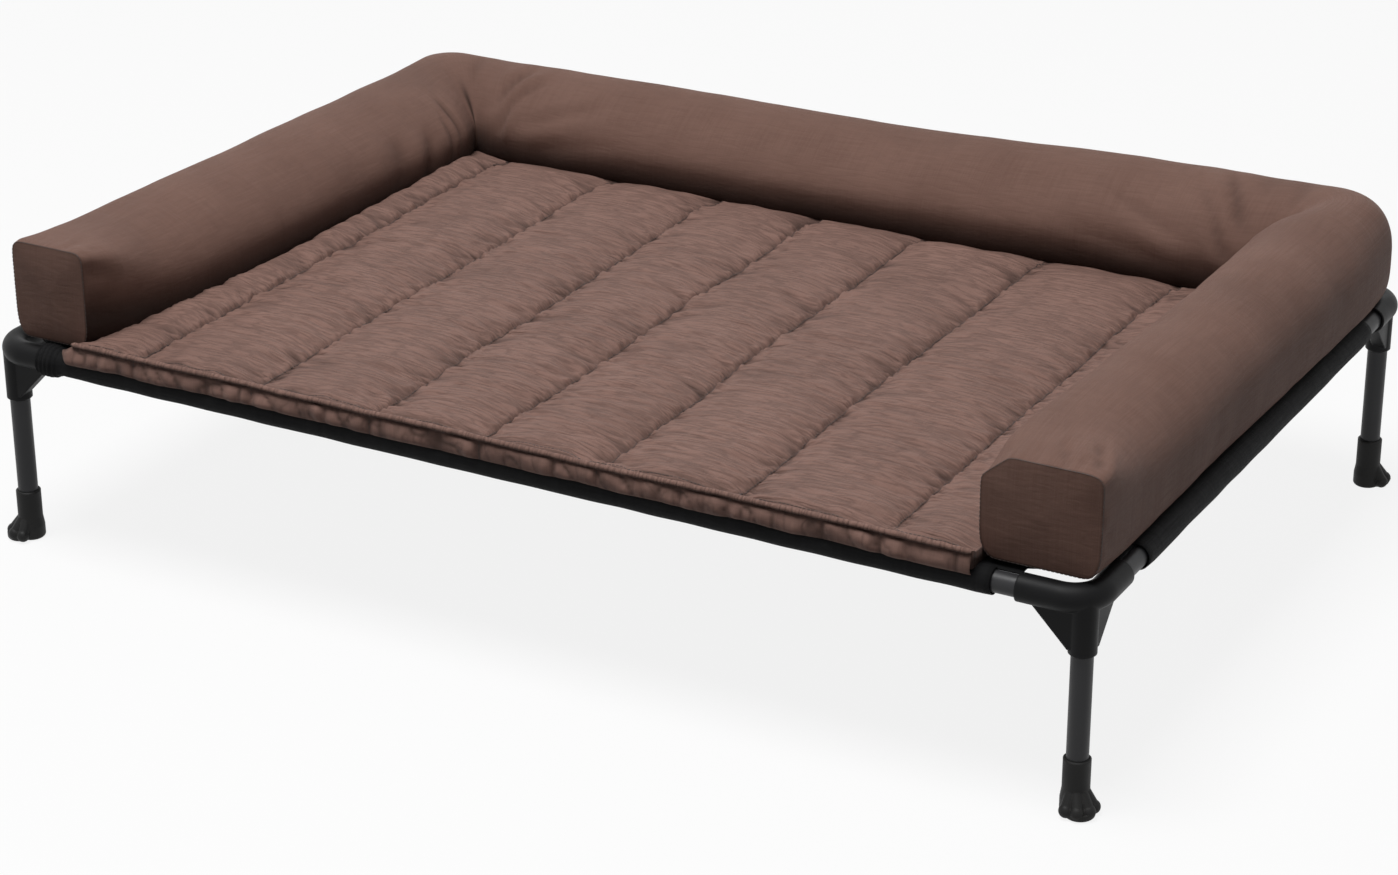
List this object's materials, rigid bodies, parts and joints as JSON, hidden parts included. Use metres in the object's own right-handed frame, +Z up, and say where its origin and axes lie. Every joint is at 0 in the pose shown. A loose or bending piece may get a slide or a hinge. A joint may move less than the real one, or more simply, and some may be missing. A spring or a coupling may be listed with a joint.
{
  "type": "raised pet cot",
  "caption": "Raised pet cot: knock-down tube frame on legs with rubber feet, taut cloth deck, and a lift-off quilted cover with bolsters along the left, back and right sides.",
  "frame": {"origin": "on the floor under the middle of the frame, at the centre of the outer box of the feet", "axes": "+X to the right along the open front, +Y to the back bolster, +Z up"},
  "size_m": [1.2472, 0.8532, 0.3348],
  "materials": {
    "moulding": "matte black moulded, fine grain",
    "tubing": "dark grey powder coat, satin",
    "foot_rubber": "matte black rubber",
    "deck_cloth": "black woven cloth",
    "quilt_cloth": "taupe brown fine weave with a slight sheen",
    "bolster_cloth": "taupe brown plain weave, matte",
    "fibre_fill": "off-white fibre filling"
  },
  "bodies": {
    "frame": {"front_left_corner": "moulding", "front_right_corner": "moulding", "back_left_corner": "moulding", "back_right_corner": "moulding", "front_rail_left": "tubing", "front_rail_right": "tubing", "back_rail_left": "tubing", "back_rail_right": "tubing", "left_rail": "tubing", "right_rail": "tubing", "deck_sheet": "deck_cloth", "front_sleeve": "deck_cloth", "back_sleeve": "deck_cloth", "left_sleeve": "deck_cloth", "right_sleeve": "deck_cloth"},
    "cover": {"quilted_pad": "quilt_cloth", "pad_front_band": "quilt_cloth", "front_piping": "quilt_cloth", "left_bolster": "bolster_cloth", "back_bolster": "bolster_cloth", "right_bolster": "bolster_cloth", "pad_wadding": "fibre_fill", "left_bolster_filling": "fibre_fill", "back_bolster_filling": "fibre_fill", "right_bolster_filling": "fibre_fill"},
    "front_left_leg_tube": {"front_left_leg": "tubing"},
    "front_left_boot": {"front_left_foot": "foot_rubber"},
    "front_right_leg_tube": {"front_right_leg": "tubing"},
    "front_right_boot": {"front_right_foot": "foot_rubber"},
    "back_left_leg_tube": {"back_left_leg": "tubing"},
    "back_left_boot": {"back_left_foot": "foot_rubber"},
    "back_right_leg_tube": {"back_right_leg": "tubing"},
    "back_right_boot": {"back_right_foot": "foot_rubber"}
  },
  "joints": [
    {"name": "cover_lift", "type": "slide", "parent": "frame", "child": "cover", "axis": [0, 0, 1], "range_m": [0, 0.15]},
    {"name": "front_left_leg_pull", "type": "slide", "parent": "frame", "child": "front_left_leg_tube", "axis": [0, 0, -1], "range_m": [0, 0.05]},
    {"name": "front_left_foot_turn", "type": "hinge", "parent": "front_left_leg_tube", "child": "front_left_boot", "pos_m": [-0.59971, -0.40271, 0.03], "axis": [0, 0, 1], "continuous": true},
    {"name": "front_right_leg_pull", "type": "slide", "parent": "frame", "child": "front_right_leg_tube", "axis": [0, 0, -1], "range_m": [0, 0.05]},
    {"name": "front_right_foot_turn", "type": "hinge", "parent": "front_right_leg_tube", "child": "front_right_boot", "pos_m": [0.59971, -0.40271, 0.03], "axis": [0, 0, 1], "continuous": true},
    {"name": "back_left_leg_pull", "type": "slide", "parent": "frame", "child": "back_left_leg_tube", "axis": [0, 0, -1], "range_m": [0, 0.05]},
    {"name": "back_left_foot_turn", "type": "hinge", "parent": "back_left_leg_tube", "child": "back_left_boot", "pos_m": [-0.59971, 0.40271, 0.03], "axis": [0, 0, 1], "continuous": true},
    {"name": "back_right_leg_pull", "type": "slide", "parent": "frame", "child": "back_right_leg_tube", "axis": [0, 0, -1], "range_m": [0, 0.05]},
    {"name": "back_right_foot_turn", "type": "hinge", "parent": "back_right_leg_tube", "child": "back_right_boot", "pos_m": [0.59971, 0.40271, 0.03], "axis": [0, 0, 1], "continuous": true}
  ]
}
